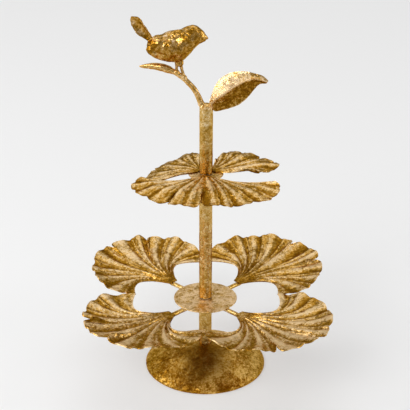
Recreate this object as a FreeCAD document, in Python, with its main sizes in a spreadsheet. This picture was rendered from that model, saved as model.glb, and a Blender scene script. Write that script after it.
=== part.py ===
# Two-tier cake stand: a round post in three screwed sections carries a lower tier of four
# ribbed fan leaves, an upper tier of three, and a twig with a bird and a folded leaf on top.
# Millimetres, +Z up, origin at the middle of the base's resting plane, front towards -Y.
import FreeCAD, Part
import Sketcher
import math
import os

from FreeCAD import Placement, Rotation, Vector

os.makedirs("parts", exist_ok=True)
doc = FreeCAD.newDocument("cake_stand")

# ---------------------------------------------------------------- driving sizes
SIZES = [
    # base dish and what holds it
    ("base_radius", 76.0, "outer radius of the foot dish"),
    ("base_height", 30.0, "floor to the dish's flat top"),
    ("base_flat", 11.0, "radius of the flat on top of the dish"),
    ("base_crown", 150.0, "radius of the dish's convex side"),
    ("base_lip", 3.0, "height of the straight lip at the floor"),
    ("dish_wall", 1.6, "spun steel of the dish"),
    ("bolt_radius", 3.0, "M6 bolt that pulls the post onto the dish"),
    ("bolt_gap", 0.05, "radial gap round the bolt's shank"),
    ("bolt_grip", 12.0, "length of bolt inside the foot plug"),
    ("bolt_head", 4.0, "height of the hexagon head"),
    ("bolt_corner", 5.77, "centre to corner of the hexagon head"),
    ("washer_radius", 9.0, "large washer under the dish"),
    ("washer_thick", 1.6, "large washer"),
    ("spring_radius", 5.5, "lock washer"),
    ("spring_thick", 1.6, "lock washer"),
    # post: three lengths of one tube
    ("post_radius", 8.0, "outer radius of the tube"),
    ("post_wall", 1.2, "tube wall"),
    ("lower_length", 63.5, "lower section, dish to lower disc"),
    ("middle_length", 166.5, "middle section, lower disc to upper disc"),
    ("top_length", 83.0, "top section, upper disc to the fork"),
    ("plug_gap", 0.02, "radial gap between a plug and its tube"),
    ("plug_length", 14.0, "threaded plug brazed into a tube's end"),
    ("collar_height", 1.2, "shoulder of a plug that stands below its tube"),
    ("collar_radius", 6.0, "shoulder radius"),
    # studs that join the sections
    ("stud_radius", 4.0, "M8 stud"),
    ("stud_gap", 0.05, "radial running gap round a stud"),
    ("stud_grip", 12.0, "stud length inside each plug"),
    # discs that carry the leaves
    ("disc_thick", 1.6, "both tier discs"),
    ("lower_disc", 39.5, "radius of the lower disc"),
    ("upper_disc", 21.0, "radius of the upper disc"),
    # arms under the lower disc
    ("arm_radius", 2.0, "round rod"),
    ("arm_inner", 16.0, "inner end of an arm from the post's axis"),
    ("arm_outer", 67.0, "outer end of an arm from the post's axis"),
    # leaves
    ("leaf_thick", 1.6, "leaf metal, measured upright"),
    ("lower_neck", 58.0, "start of a lower leaf from the post's axis"),
    ("lower_neck_half", 6.0, "half the width of its neck"),
    ("lower_reach", 184.0, "tip of a lower leaf from the post's axis"),
    ("lower_elbow", 113.0, "where its ribs spread, from the post's axis"),
    ("lower_elbow_half", 29.5, "half the spread of the ribs there"),
    ("lower_rise", 12.0, "height of its rim over its neck"),
    ("lower_ribs", 13.0, "ribs across a lower leaf"),
    ("upper_neck", 9.5, "start of an upper leaf from the post's axis"),
    ("upper_neck_half", 3.5, "half the width of its neck"),
    ("upper_reach", 83.0, "tip of an upper leaf from the post's axis"),
    ("bend_ease", 30, "length over which an upper leaf's bend sets in past the disc"),
    ("upper_elbow", 38.0, "where its ribs spread, from the post's axis"),
    ("upper_elbow_half", 14.0, "half the spread of the ribs there"),
    ("upper_crown", 3.0, "how far it rises from neck to rim"),
    ("upper_lip", 9.0, "how far its rim turns down"),
    ("upper_ribs", 11.0, "ribs across an upper leaf"),
    ("rib_depth", 0.9, "half the depth of the ribs"),
    # finial
    ("fork_height", 5.0, "solid top of the fork, above the tube"),
    ("fork_shoulder_cut", 1.5, "bevel round the fork's top"),
    ("twig_radius", 3.5, "twig at the fork"),
    ("twig_end_radius", 2.7, "twig at the perch"),
    ("perch_half", 3.4, "half the width of the slender leaf at the twig's end"),
    ("fold_half", 19.0, "half the width of the folded leaf, along its face"),
    ("fold_lean", 0.4, "how far each half leans back for its width"),
    ("fold_wall", 1.6, "metal of the folded leaf"),
    ("bird_length", 50.0, "breast to rump"),
    ("bird_depth", 35.0, "back to belly"),
    ("bird_half", 14.0, "half the bird's width"),
    ("bird_head", 10.5, "radius of the head"),
    ("beak_root", 4.0, "radius of the beak where it leaves the head"),
    ("beak_length", 9.5, "beak, from inside the head"),
    ("bird_tail_half", 20.0, "half the length of the tail"),
    ("bird_tail_wide", 7.0, "half the width of the tail"),
    ("bird_tail_thick", 5.0, "half the thickness of the tail"),
    ("leg_radius", 1.4, "bird's legs"),
    ("leg_gap", 0.05, "radial gap of a leg in its socket"),
]

sheet = doc.addObject("Spreadsheet::Sheet", "Sizes")
for row, (alias, value, note) in enumerate(SIZES, 1):
    sheet.set(f"A{row}", note)
    sheet.set(f"B{row}", str(value))
    sheet.setAlias(f"B{row}", alias)
doc.recompute()


def of(text):
    """Write Sizes. before every alias, so that an expression can be bound to a property."""
    words = {alias for alias, _, _ in SIZES}
    out, word = "", ""
    for letter in text + " ":
        if letter.isalnum() or letter == "_":
            word += letter
            continue
        out += ("Sizes." + word if word in words else word) + letter
        word = ""
    return out.strip()


def number(text):
    """The value of an expression on the sheet's aliases, in millimetres."""
    value = sheet.evalExpression(of(text))
    return float(getattr(value, "Value", value))


# ---------------------------------------------------------------- levels up the post
DISH_TOP = "base_height"
LOWER_DISC_FOOT = f"({DISH_TOP} + lower_length)"
LOWER_DISC_TOP = f"({LOWER_DISC_FOOT} + disc_thick)"
UPPER_DISC_FOOT = f"({LOWER_DISC_TOP} + middle_length)"
UPPER_DISC_TOP = f"({UPPER_DISC_FOOT} + disc_thick)"
FORK_FOOT = f"({UPPER_DISC_TOP} + top_length)"
FORK_TOP = f"({FORK_FOOT} + fork_height)"
BORE = "(stud_radius + stud_gap)"
PLUG = "(post_radius - post_wall - plug_gap)"

NODES = []


def keep(piece, label):
    piece.Label = label
    NODES.append(piece)
    return piece


# ---------------------------------------------------------------- turned pieces
def turned(label, corners, arcs=None):
    """A body turned about Z from a closed profile of (radius, height) expressions.

    arcs maps the number of a side to the expression of its radius, bulging outwards.
    """
    arcs = arcs or {}
    body = doc.addObject("PartDesign::Body", label + "_body")
    sketch = body.newObject("Sketcher::SketchObject", label + "_profile")
    plane = [o for o in body.Origin.OriginFeatures if o.Role == "XZ_Plane"][0]
    sketch.AttachmentSupport = [(plane, "")]
    sketch.MapMode = "FlatFace"
    points = [Vector(number(r), number(z), 0) for r, z in corners]
    count = len(points)
    ends = {}
    for side in range(count):
        a = points[side]
        b = points[(side + 1) % count]
        if side in arcs:
            radius = number(arcs[side])
            chord = b - a
            middle = (a + b) * 0.5
            across = Vector(-chord.y, chord.x, 0).normalize()
            if across.y > 0:
                across = across * -1
            centre = middle + across * math.sqrt(radius ** 2 - (chord.Length / 2) ** 2)
            start = math.atan2(b.y - centre.y, b.x - centre.x)
            stop = math.atan2(a.y - centre.y, a.x - centre.x)
            turn_back = stop > start
            first, last = (start, stop) if stop > start else (stop, start)
            circle = Part.Circle(centre, Vector(0, 0, 1), radius)
            sketch.addGeometry(Part.ArcOfCircle(circle, first, last), False)
            ends[side] = (2, 1) if turn_back else (1, 2)
            sketch.addConstraint(Sketcher.Constraint("Radius", side, radius))
            sketch.setExpression(f"Constraints[{sketch.ConstraintCount - 1}]", of(arcs[side]))
        else:
            sketch.addGeometry(Part.LineSegment(a, b), False)
            ends[side] = (1, 2)
    for side in range(count):
        after = (side + 1) % count
        sketch.addConstraint(
            Sketcher.Constraint("Coincident", side, ends[side][1], after, ends[after][0])
        )
    for side, (radius, height) in enumerate(corners):
        first = ends[side][0]
        for kind, text, axis in (("DistanceX", radius, -2), ("DistanceY", height, -1)):
            if text == "0":
                sketch.addConstraint(Sketcher.Constraint("PointOnObject", side, first, axis))
                continue
            sketch.addConstraint(
                Sketcher.Constraint(kind, -1, 1, side, first, number(text))
            )
            sketch.setExpression(f"Constraints[{sketch.ConstraintCount - 1}]", of(text))
    turn = body.newObject("PartDesign::Revolution", label + "_turn")
    turn.Profile = sketch
    turn.ReferenceAxis = (sketch, ["V_Axis"])
    turn.Angle = 360.0
    sketch.Visibility = False
    return keep(body, label)


def ring(label, inner, outer, foot, top):
    """A plain ring, or a disc where inner is "0"."""
    return turned(label, [(inner, foot), (outer, foot), (outer, top), (inner, top)])


# ---------------------------------------------------------------- base
def make_base():
    hole = "(bolt_radius + bolt_gap)"
    turned(
        "base_dish",
        [
            ("(base_radius - dish_wall)", "0"),
            ("base_radius", "0"),
            ("base_radius", "base_lip"),
            ("base_flat", DISH_TOP),
            (hole, DISH_TOP),
            (hole, f"({DISH_TOP} - dish_wall)"),
            ("(base_flat - dish_wall)", f"({DISH_TOP} - dish_wall)"),
            ("(base_radius - dish_wall)", "(base_lip - dish_wall / 2)"),
        ],
        arcs={2: "base_crown", 6: "(base_crown - dish_wall)"},
    )
    washer_foot = f"({DISH_TOP} - dish_wall - washer_thick)"
    spring_foot = f"({washer_foot} - spring_thick)"
    ring("base_washer", hole, "washer_radius", washer_foot, f"({DISH_TOP} - dish_wall)")
    ring("base_lock_washer", hole, "spring_radius", spring_foot, washer_foot)
    # hexagon bolt, head down, its shank up through the washers and the dish
    head = doc.addObject("Part::Prism", "bolt_head_prism")
    head.Polygon = 6
    head.setExpression("Circumradius", of("bolt_corner"))
    head.setExpression("Height", of("bolt_head"))
    head.setExpression("Placement.Base.z", of(f"{spring_foot} - bolt_head"))
    shank = doc.addObject("Part::Cylinder", "bolt_shank")
    shank.setExpression("Radius", of("bolt_radius"))
    shank.setExpression("Height", of(f"{DISH_TOP} + bolt_grip - ({spring_foot})"))
    shank.setExpression("Placement.Base.z", of(spring_foot))
    bolt = doc.addObject("Part::MultiFuse", "bolt")
    bolt.Shapes = [head, shank]
    keep(bolt, "base_bolt")


# ---------------------------------------------------------------- post
def make_post():
    inner = "(post_radius - post_wall)"
    # lower section, with a plug at each end flush with the tube
    ring("lower_post", inner, "post_radius", DISH_TOP, LOWER_DISC_FOOT)
    ring("lower_foot_plug", "(bolt_radius + bolt_gap)", PLUG, DISH_TOP, f"({DISH_TOP} + plug_length)")
    ring("lower_head_plug", BORE, PLUG, f"({LOWER_DISC_FOOT} - plug_length)", LOWER_DISC_FOOT)
    # middle and top sections stand on a narrower shoulder, which leaves a dark groove
    for name, foot, top in (
        ("middle", LOWER_DISC_TOP, UPPER_DISC_FOOT),
        ("top", UPPER_DISC_TOP, FORK_FOOT),
    ):
        shoulder = f"({foot} + collar_height)"
        ring(f"{name}_post", inner, "post_radius", shoulder, top)
        turned(
            f"{name}_foot_plug",
            [
                (BORE, foot),
                ("collar_radius", foot),
                ("collar_radius", shoulder),
                (PLUG, shoulder),
                (PLUG, f"({shoulder} + plug_length)"),
                (BORE, f"({shoulder} + plug_length)"),
            ],
        )
    ring("middle_head_plug", BORE, PLUG, f"({UPPER_DISC_FOOT} - plug_length)", UPPER_DISC_FOOT)
    for name, foot, top in (
        ("lower", LOWER_DISC_FOOT, LOWER_DISC_TOP),
        ("upper", UPPER_DISC_FOOT, UPPER_DISC_TOP),
    ):
        ring(f"{name}_stud", "0", "stud_radius", f"({foot} - stud_grip)", f"({top} + stud_grip)")


# ---------------------------------------------------------------- leaves
def through(stations):
    """A smooth plane curve through (share, along, across) stations, read by its share."""
    curve = Part.BSplineCurve()
    curve.interpolate(
        Points=[Vector(along, across, 0) for _, along, across in stations],
        Parameters=[share for share, _, _ in stations],
    )
    return curve


# Outline of a fan leaf as (share of the fan, along its axis, across it). The shares run from
# the right wing's inner tip at -1 to the left wing's at +1; lengths are shares of the reach.
LOWER_OUTLINE = [
    (1.0, 0.3640, 0.3610),
    (0.94, 0.4080, 0.4040),
    (0.87, 0.4680, 0.4420),
    (0.72, 0.6000, 0.4550),
    (0.53, 0.7450, 0.4100),
    (0.34, 0.8750, 0.3050),
    (0.16, 0.9680, 0.1500),
    (0.0, 1.0, 0.0),
]
FRONT_OUTLINE = [
    (1.0, 0.5000, 1.0400),
    (0.90, 0.5900, 1.0350),
    (0.74, 0.7250, 0.9100),
    (0.53, 0.8800, 0.6700),
    (0.27, 0.9850, 0.3600),
    (0.0, 0.9600, 0.0),
]
BACK_OUTLINE = [
    (1.0, 0.4400, 0.4000),
    (0.85, 0.6200, 0.5100),
    (0.62, 0.8400, 0.4700),
    (0.32, 0.9700, 0.2600),
    (0.0, 1.0, 0.0),
]


def mirrored(half, reach):
    """Both halves of an outline, right wing first, in millimetres."""
    left = [(share, along * reach, across * reach) for share, along, across in half]
    right = [(-share, along, -across) for share, along, across in left if share > 0]
    return right + left[::-1]


def fan_leaf(outline, neck, neck_half, elbow, elbow_half, height, ribs):
    """A closed leaf of one thickness under a smooth sheet through a grid of points.

    Each rib leaves the neck straight, bends over an elbow point and ends on the outline,
    so the outer ribs hook back as in a ginkgo leaf. height lifts the sheet, from the run
    along a rib, the share across the fan and the place.
    """
    depth = number("rib_depth")
    rim = through(outline)
    columns = int(4 * ribs) + 1
    rows = [0.0, 0.12, 0.26, 0.42, 0.58, 0.72, 0.83, 0.92, 1.0]
    grid = []
    for row in rows:
        line = []
        for column in range(columns):
            share = -1 + 2 * column / (columns - 1)
            end = rim.value(share)
            start = Vector(neck, share * neck_half, 0)
            bend = Vector(elbow, share * elbow_half, 0)
            place = start * (1 - row) ** 2 + bend * (2 * row * (1 - row)) + end * row ** 2
            wave = 1 + math.cos(math.pi * ribs * (share + 1))
            swell = min(1.0, 2.0 * row)
            line.append(place + Vector(0, 0, height(row, share, place) + depth * wave * swell))
        grid.append(line)
    sheet_face = Part.BSplineSurface()
    sheet_face.interpolate(grid)
    return sheet_face.toShape().extrude(Vector(0, 0, -number("leaf_thick")))


def leaf_node(label, shape, azimuth, seat):
    """Set a leaf's underside at its seat height and turn it into place."""
    piece = doc.addObject("Part::Feature", label + "_sheet")
    piece.Shape = shape
    lift = Vector(0, 0, seat + number("leaf_thick"))
    piece.Placement = Placement(lift, Rotation(Vector(0, 0, 1), azimuth))
    keep(piece, label)


def make_lower_tier():
    ring("lower_disc_plate", BORE, "lower_disc", LOWER_DISC_FOOT, LOWER_DISC_TOP)
    rise = number("lower_rise")

    def dish(run, share, place):
        return rise * run ** 4 * (1 - 0.85 * abs(share) ** 2.5)

    shape = fan_leaf(
        mirrored(LOWER_OUTLINE, number("lower_reach")),
        number("lower_neck"),
        number("lower_neck_half"),
        number("lower_elbow"),
        number("lower_elbow_half"),
        dish,
        number("lower_ribs"),
    )
    for place, azimuth in (
        ("back_right", 45),
        ("back_left", 135),
        ("front_left", 225),
        ("front_right", 315),
    ):
        arm = doc.addObject("Part::Cylinder", f"arm_{place}")
        arm.setExpression("Radius", of("arm_radius"))
        arm.setExpression("Height", of("arm_outer - arm_inner"))
        arm.Placement.Rotation = Rotation(Vector(0, 0, 1), azimuth).multiply(
            Rotation(Vector(0, 1, 0), 90)
        )
        arm.setExpression("Placement.Base.x", of(f"arm_inner * cos({azimuth} deg)"))
        arm.setExpression("Placement.Base.y", of(f"arm_inner * sin({azimuth} deg)"))
        arm.setExpression("Placement.Base.z", of(f"{LOWER_DISC_FOOT} - arm_radius"))
        keep(arm, f"lower_arm_{place}")
        leaf_node(f"lower_leaf_{place}", shape, azimuth, number(LOWER_DISC_FOOT))


def make_upper_tier():
    ring("upper_disc_plate", BORE, "upper_disc", UPPER_DISC_FOOT, UPPER_DISC_TOP)
    crown = number("upper_crown")
    lip = number("upper_lip")
    disc = number("upper_disc")
    ease = number("bend_ease")

    # each is bent up or down past the disc's edge, and rolled, by hand, in degrees
    for label, outline, azimuth, bend, roll in (
        ("upper_leaf_front", FRONT_OUTLINE, -90, -2, 0),
        ("upper_leaf_back_right", BACK_OUTLINE, 34, 5, 4),
        ("upper_leaf_back_left", BACK_OUTLINE, 148, -14, 6),
    ):
        slope = math.tan(math.radians(bend))
        twist = math.tan(math.radians(roll))

        def umbrella(run, share, place):
            turned_down = max(0.0, (run - 0.7) / 0.3) ** 2 * (1 - abs(share) ** 4)
            past_disc = max(0.0, place.x - disc)
            eased = past_disc ** 2 / (past_disc + ease)
            bent = slope * eased - twist * place.y * min(1.0, eased / disc)
            return crown * run ** 2 - lip * turned_down + bent

        shape = fan_leaf(
            mirrored(outline, number("upper_reach")),
            number("upper_neck"),
            number("upper_neck_half"),
            number("upper_elbow"),
            number("upper_elbow_half"),
            umbrella,
            number("upper_ribs"),
        )
        leaf_node(label, shape, azimuth, number(UPPER_DISC_TOP))


# ---------------------------------------------------------------- finial
# Places on the finial are (across, up) from the middle of the fork's top, in the plane y = 0.
TWIG = [(-2.8, -3.0), (-4.6, 1.5), (-12.5, 13.0), (-21.2, 24.9), (-31.2, 35.4), (-38.7, 40.2)]
PERCH = [(-38.9, 40.3), (-50.0, 43.6), (-61.4, 45.4), (-77.6, 44.9)]
STALK = [(2.2, -2.6), (4.8, -1.4), (7.6, 0.2)]
MIDRIB = [(8.0, 0.0), (20.4, 11.7), (39.2, 23.5), (56.7, 29.0), (70.6, 26.2)]
# folded leaf: share of the midrib, width above it and below it as shares of the half width
FOLD_WIDTHS = [
    (0.0, 0.08, 0.08),
    (0.15, 0.52, 0.62),
    (0.35, 0.85, 0.98),
    (0.58, 0.86, 1.0),
    (0.78, 0.58, 0.75),
    (0.92, 0.28, 0.28),
    (1.0, 0.05, 0.05),
]


def on_finial(across, up):
    return Vector(across, 0, number(FORK_TOP) + up)


def spline(points):
    curve = Part.BSplineCurve()
    curve.interpolate([on_finial(*point) for point in points])
    return curve


def at_share(curve, share):
    return curve.FirstParameter + share * (curve.LastParameter - curve.FirstParameter)


def round_rod(points, radii):
    """A solid of round sections along a smooth curve, one section for each radius."""
    curve = spline(points)
    sections = []
    for step, radius in enumerate(radii):
        where = at_share(curve, step / (len(radii) - 1))
        circle = Part.Circle(curve.value(where), curve.tangent(where)[0], radius)
        sections.append(Part.Wire(circle.toShape()))
    return Part.makeLoft(sections, True)


def shape_object(label, shape):
    piece = doc.addObject("Part::Feature", label)
    piece.Shape = shape
    return piece


def make_fork():
    """The forked casting that caps the post: a plug, the twig and the folded leaf's stalk."""
    cap = doc.addObject("Part::Cylinder", "fork_cap")
    cap.setExpression("Radius", of("post_radius"))
    cap.setExpression("Height", of("fork_height"))
    cap.setExpression("Placement.Base.z", of(FORK_FOOT))
    rounded = doc.addObject("Part::Chamfer", "fork_shoulder")
    rounded.Base = cap
    doc.recompute()
    shoulder = number("fork_shoulder_cut")
    top_edge = max(range(3), key=lambda i: cap.Shape.Edges[i].BoundBox.ZMin) + 1
    rounded.Edges = [(top_edge, shoulder, shoulder)]
    plug = doc.addObject("Part::Cylinder", "fork_plug")
    plug.setExpression("Radius", of(PLUG))
    plug.setExpression("Height", of("plug_length"))
    plug.setExpression("Placement.Base.z", of(f"{FORK_FOOT} - plug_length"))
    thick = number("twig_radius")
    thin = number("twig_end_radius")
    radii = [thick + (thin - thick) * step / 5 for step in range(6)]
    twig = shape_object("fork_twig", round_rod(TWIG, radii))
    stalk = shape_object("fork_stalk", round_rod(STALK, [thick, thick * 0.85, thick * 0.6]))
    fork = doc.addObject("Part::MultiFuse", "fork")
    fork.Shapes = [rounded, plug, twig, stalk]
    return keep(fork, "forked_twig")


def make_perch_leaf():
    end = number("twig_end_radius")
    widest = number("perch_half")
    radii = [end, widest, widest * 1.05, widest * 0.8, widest * 0.5, widest * 0.15]
    keep(shape_object("perch", round_rod(PERCH, radii)), "perch_leaf")


def make_folded_leaf():
    """Two halves of one sheet, creased along the midrib, whose edges lean to the back."""
    curve = spline(MIDRIB)
    half = number("fold_half")
    lean = number("fold_lean")
    grid = []
    for share, above, below in FOLD_WIDTHS:
        where = at_share(curve, share)
        along = curve.tangent(where)[0]
        across = Vector(-along.z, 0, along.x)
        line = []
        for offset in (-below, -below / 2, 0.0, above / 2, above):
            back = Vector(0, (abs(offset) - min(1.0, 3 * share)) * half * lean, 0)
            line.append(curve.value(where) + across * offset * half + back)
        grid.append(line)
    surface = Part.BSplineSurface()
    surface.interpolate(grid)
    thick = Vector(0, number("fold_wall"), 0)
    keep(shape_object("folded_sheet", surface.toShape().extrude(thick)), "folded_leaf")


def ellipsoid(label, across, up, half_length, half_width, half_height, lean):
    """An ellipsoid on the finial, its length turned by lean degrees about Y."""
    piece = doc.addObject("Part::Ellipsoid", label)
    piece.setExpression("Radius1", of(half_height))
    piece.setExpression("Radius2", of(half_length))
    piece.setExpression("Radius3", of(half_width))
    piece.Placement.Rotation = Rotation(Vector(0, 1, 0), lean)
    piece.Placement.Base.x = across
    piece.setExpression("Placement.Base.z", of(f"{FORK_TOP} + {up}"))
    return piece


def leg(label, gap, foot, hip):
    """A round leg from its foot inside the twig to its hip inside the bird."""
    start = on_finial(*foot)
    end = on_finial(*hip)
    radius = number("leg_radius") + gap
    return shape_object(label, Part.makeCylinder(radius, (end - start).Length, start, end - start))


LEGS = [((-34.4, 37.0), (-36.0, 54.0)), ((-26.6, 30.5), (-32.0, 54.0))]


def make_bird(fork):
    breast = "bird_length / 2"
    body = ellipsoid("bird_trunk", -39.5, 68.5, breast, "bird_half", "bird_depth / 2", -9)
    head = ellipsoid("bird_head", -14.5, 82.5, "bird_head", "bird_head", "bird_head", 0)
    neck = ellipsoid("bird_neck", -23.0, 77.5, "bird_head * 1.35", "bird_head", "bird_head * 1.05", -20)
    tail = ellipsoid("bird_tail", -73.0, 89.0, "bird_tail_half", "bird_tail_wide", "bird_tail_thick", 48)
    rump = ellipsoid("bird_rump", -61.0, 72.0, "bird_head * 0.9", "bird_head * 0.8", "bird_head", 0)
    beak = doc.addObject("Part::Cone", "bird_beak")
    beak.setExpression("Radius1", of("beak_root"))
    beak.Radius2 = 0.4
    beak.setExpression("Height", of("beak_length"))
    beak.Placement = Placement(on_finial(-7.0, 80.5), Rotation(Vector(0, 1, 0), 107))
    whole = doc.addObject("Part::MultiFuse", "bird_casting")
    whole.Shapes = [body, neck, head, rump, tail, beak]
    sockets = doc.addObject("Part::MultiFuse", "bird_sockets")
    gap = number("leg_gap")
    sockets.Shapes = [leg(f"bird_socket_{i}", gap, *ends) for i, ends in enumerate(LEGS)]
    bird = doc.addObject("Part::Cut", "bird_with_sockets")
    bird.Base = whole
    bird.Tool = sockets
    keep(bird, "bird")
    for side, ends in zip(("rear", "front"), LEGS):
        foot = doc.addObject("Part::Cut", f"leg_{side}_seated")
        foot.Base = leg(f"leg_{side}", 0.0, *ends)
        foot.Tool = fork
        keep(foot, f"bird_leg_{side}")


def make_finial():
    fork = make_fork()
    make_perch_leaf()
    make_folded_leaf()
    make_bird(fork)


make_base()
make_post()
make_lower_tier()
make_upper_tier()
make_finial()
doc.recompute()

for item in doc.Objects:
    if {"Invalid", "Error"} & set(item.State):
        raise RuntimeError(f"{item.Name} failed: {item.State}")
for piece in NODES:
    if piece.Shape.isNull() or not piece.Shape.isValid():
        raise RuntimeError(f"{piece.Label} has a bad shape")
for piece in NODES:
    piece.Shape.exportStep(f"parts/{piece.Label}.step")
    box = piece.Shape.BoundBox
    print(f"{piece.Label:26s} {piece.Shape.Volume:10.1f} mm3  z {box.ZMin:7.2f} {box.ZMax:7.2f}")
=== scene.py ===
# %% [markdown]
# # A gilded two-tier cake stand
# The stand is metal all over: a dished foot, a round post in three screwed lengths, two tiers
# of ribbed ginkgo-fan leaves, and on top a forked twig with a small bird and a folded leaf.
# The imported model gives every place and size. This script makes the surfaces that are seen.

# %% Load the frame
import math

import bmesh
import bpy
import numpy as np
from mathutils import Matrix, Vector, noise


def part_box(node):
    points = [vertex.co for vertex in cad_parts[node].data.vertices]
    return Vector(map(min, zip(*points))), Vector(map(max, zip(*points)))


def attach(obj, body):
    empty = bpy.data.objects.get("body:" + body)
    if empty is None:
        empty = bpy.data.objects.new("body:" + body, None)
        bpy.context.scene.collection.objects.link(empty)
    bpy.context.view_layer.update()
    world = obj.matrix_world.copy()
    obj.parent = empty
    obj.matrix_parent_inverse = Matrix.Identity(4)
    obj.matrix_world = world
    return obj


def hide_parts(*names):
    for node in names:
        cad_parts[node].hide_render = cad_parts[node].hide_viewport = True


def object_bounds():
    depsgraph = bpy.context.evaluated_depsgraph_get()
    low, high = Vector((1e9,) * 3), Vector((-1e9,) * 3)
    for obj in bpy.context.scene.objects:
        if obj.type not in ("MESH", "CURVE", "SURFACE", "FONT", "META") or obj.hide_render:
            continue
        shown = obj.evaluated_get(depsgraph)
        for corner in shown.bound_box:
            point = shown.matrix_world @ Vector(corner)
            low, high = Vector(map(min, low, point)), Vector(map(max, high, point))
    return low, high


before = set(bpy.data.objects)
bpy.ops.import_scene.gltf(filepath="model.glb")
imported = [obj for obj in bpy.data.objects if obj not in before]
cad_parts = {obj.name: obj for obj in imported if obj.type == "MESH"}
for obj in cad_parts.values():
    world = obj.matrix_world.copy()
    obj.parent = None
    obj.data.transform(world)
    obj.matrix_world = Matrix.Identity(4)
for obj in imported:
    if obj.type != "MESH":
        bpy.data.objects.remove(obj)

cad_box = [list(corner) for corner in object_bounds()]
MM = 0.001
print("CAD box", cad_box)

# %% [markdown]
# ## Reading places from the frame
# A turned piece's radius and levels are its box. These few numbers place everything else, so
# nothing is typed in twice.

# %% Levels and radii


def level(node, end):
    """The height of a node's foot (end 0) or top (end 1)."""
    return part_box(node)[end][2]


def radius(node):
    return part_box(node)[1][0]


post_radius = radius("top_post")
lower_seat = level("lower_disc_plate", 0)
upper_seat = level("upper_disc_plate", 1)
# the hollow of the fork is a little above the end of the post
fork_top = level("top_post", 1) + 5 * MM
reach = radius("lower_leaf_back_right")
print("post", post_radius, "lower seat", lower_seat, "upper seat", upper_seat, "fork", fork_top)

# %% [markdown]
# ## Writing node trees as arithmetic
# A node tree for a rule or a finish is a formula. Here one small class wraps an output socket,
# so that a sum or a product of two of them adds the Math node that works it out. The same
# class serves shader trees and geometry trees, because both know these nodes.

# %% Sockets that do arithmetic


class Value:
    """One output socket. Arithmetic on it adds Math nodes to its tree."""

    def __init__(self, graph, socket):
        self.graph = graph
        self.socket = socket

    def math(self, operation, *others):
        return self.graph.node("ShaderNodeMath", {"operation": operation}, [self, *others])

    def reflected(self, operation, other):
        return self.graph.node("ShaderNodeMath", {"operation": operation}, [other, self])

    def __add__(self, other):
        return self.math("ADD", other)

    def __sub__(self, other):
        return self.math("SUBTRACT", other)

    def __rsub__(self, other):
        return self.reflected("SUBTRACT", other)

    def __mul__(self, other):
        return self.math("MULTIPLY", other)

    def __truediv__(self, other):
        return self.math("DIVIDE", other)

    def __pow__(self, other):
        return self.math("POWER", other)

    __radd__ = __add__
    __rmul__ = __mul__

    def step(self, low, high):
        """0 below low, 1 above high, and smooth between."""
        return self.graph.node(
            "ShaderNodeMapRange",
            {"interpolation_type": "SMOOTHSTEP"},
            {"Value": self, "From Min": low, "From Max": high},
        )

    def other(self, name):
        """Another output of the same node."""
        return Value(self.graph, self.socket.node.outputs[name])


class Graph:
    """A node tree that nodes are added to, each by its type, settings and sockets."""

    def __init__(self, tree):
        self.tree = tree

    def node(self, kind, settings=None, sockets=None, out=0):
        made = self.tree.nodes.new(kind)
        for name, setting in (settings or {}).items():
            if name == "stops":
                self.set_stops(made.color_ramp, setting)
            else:
                setattr(made, name, setting)
        sockets = sockets or {}
        pairs = sockets.items() if isinstance(sockets, dict) else enumerate(sockets)
        for key, value in pairs:
            if isinstance(value, Value):
                self.tree.links.new(value.socket, made.inputs[key])
            else:
                made.inputs[key].default_value = value
        return Value(self, made.outputs[out])

    @staticmethod
    def set_stops(ramp, stops):
        while len(ramp.elements) < len(stops):
            ramp.elements.new(0.5)
        for element, (place, colour) in zip(ramp.elements, stops):
            element.position = place
            element.color = (*colour, 1.0)

    def feed(self, node, name, value):
        """Link a value into a named socket of a node that is there already."""
        self.tree.links.new(value.socket, node.inputs[name])

    def vector(self, operation, *operands, out=0):
        return self.node("ShaderNodeVectorMath", {"operation": operation}, operands, out)

    def point(self, *xyz):
        return self.node("ShaderNodeCombineXYZ", {}, xyz)

    def part(self, vector, axis):
        return self.node("ShaderNodeSeparateXYZ", {}, [vector]).other(axis)

    def blend(self, mask, first, second):
        """The colour first where mask is 0 and second where it is 1."""
        first, second = (c if isinstance(c, Value) else (*c, 1.0) for c in (first, second))
        return self.node(
            "ShaderNodeMix", {"data_type": "RGBA"}, {0: mask, 6: first, 7: second}, out=2
        )

    def noise(self, place, scale, detail=2.0, roughness=0.5, distortion=0.0):
        return self.node(
            "ShaderNodeTexNoise",
            {},
            {"Vector": place, "Scale": scale, "Detail": detail, "Roughness": roughness,
             "Distortion": distortion},
        )


print("node arithmetic ready")

# %% [markdown]
# ## The gilding
# The metal is covered in leaf: squares of gold laid on a dark brown ground, crinkled as they
# were laid. So one finish needs four layers: the brown ground showing through worn spots, the
# gold, a pale painted light where a face looks up or a rib stands proud, and small flat facets
# that catch the light.

# %% A finish to start from


def new_finish(name):
    """A material with its graph, its shader and the place on the piece."""
    material = bpy.data.materials.new(name)
    material.use_nodes = True
    graph = Graph(material.node_tree)
    shader = material.node_tree.nodes["Principled BSDF"]
    place = graph.node("ShaderNodeTexCoord").other("Object")
    return material, graph, shader, place


# from the darkest ground to the palest gold, by tone
LAYERS = [
    (0.30, (0.140, 0.052, 0.001)),
    (0.42, (0.270, 0.120, 0.004)),
    (0.50, (0.430, 0.228, 0.038)),
    (0.58, (0.600, 0.375, 0.130)),
    (0.68, (0.800, 0.590, 0.345)),
]
# colour of the patch of painted shade
SHADE = (0.130, 0.060, 0.006)
# grains to the metre of each pattern in the leaf, from worn areas down to specks
BROAD, MOTTLE, FACET, CRINKLE, GRAIN = 24, 105, 260, 300, 430
print("layers", len(LAYERS), "from", LAYERS[0][1], "to", LAYERS[-1][1])

# %% [markdown]
# Crumpled leaf is not rough like paper: it is many small mirrors, each tipped its own way. A
# Voronoi pattern gives every cell a random colour, which is used as a direction to tip the
# normal in, and a Bump node lays the fine crinkles over it.

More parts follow.
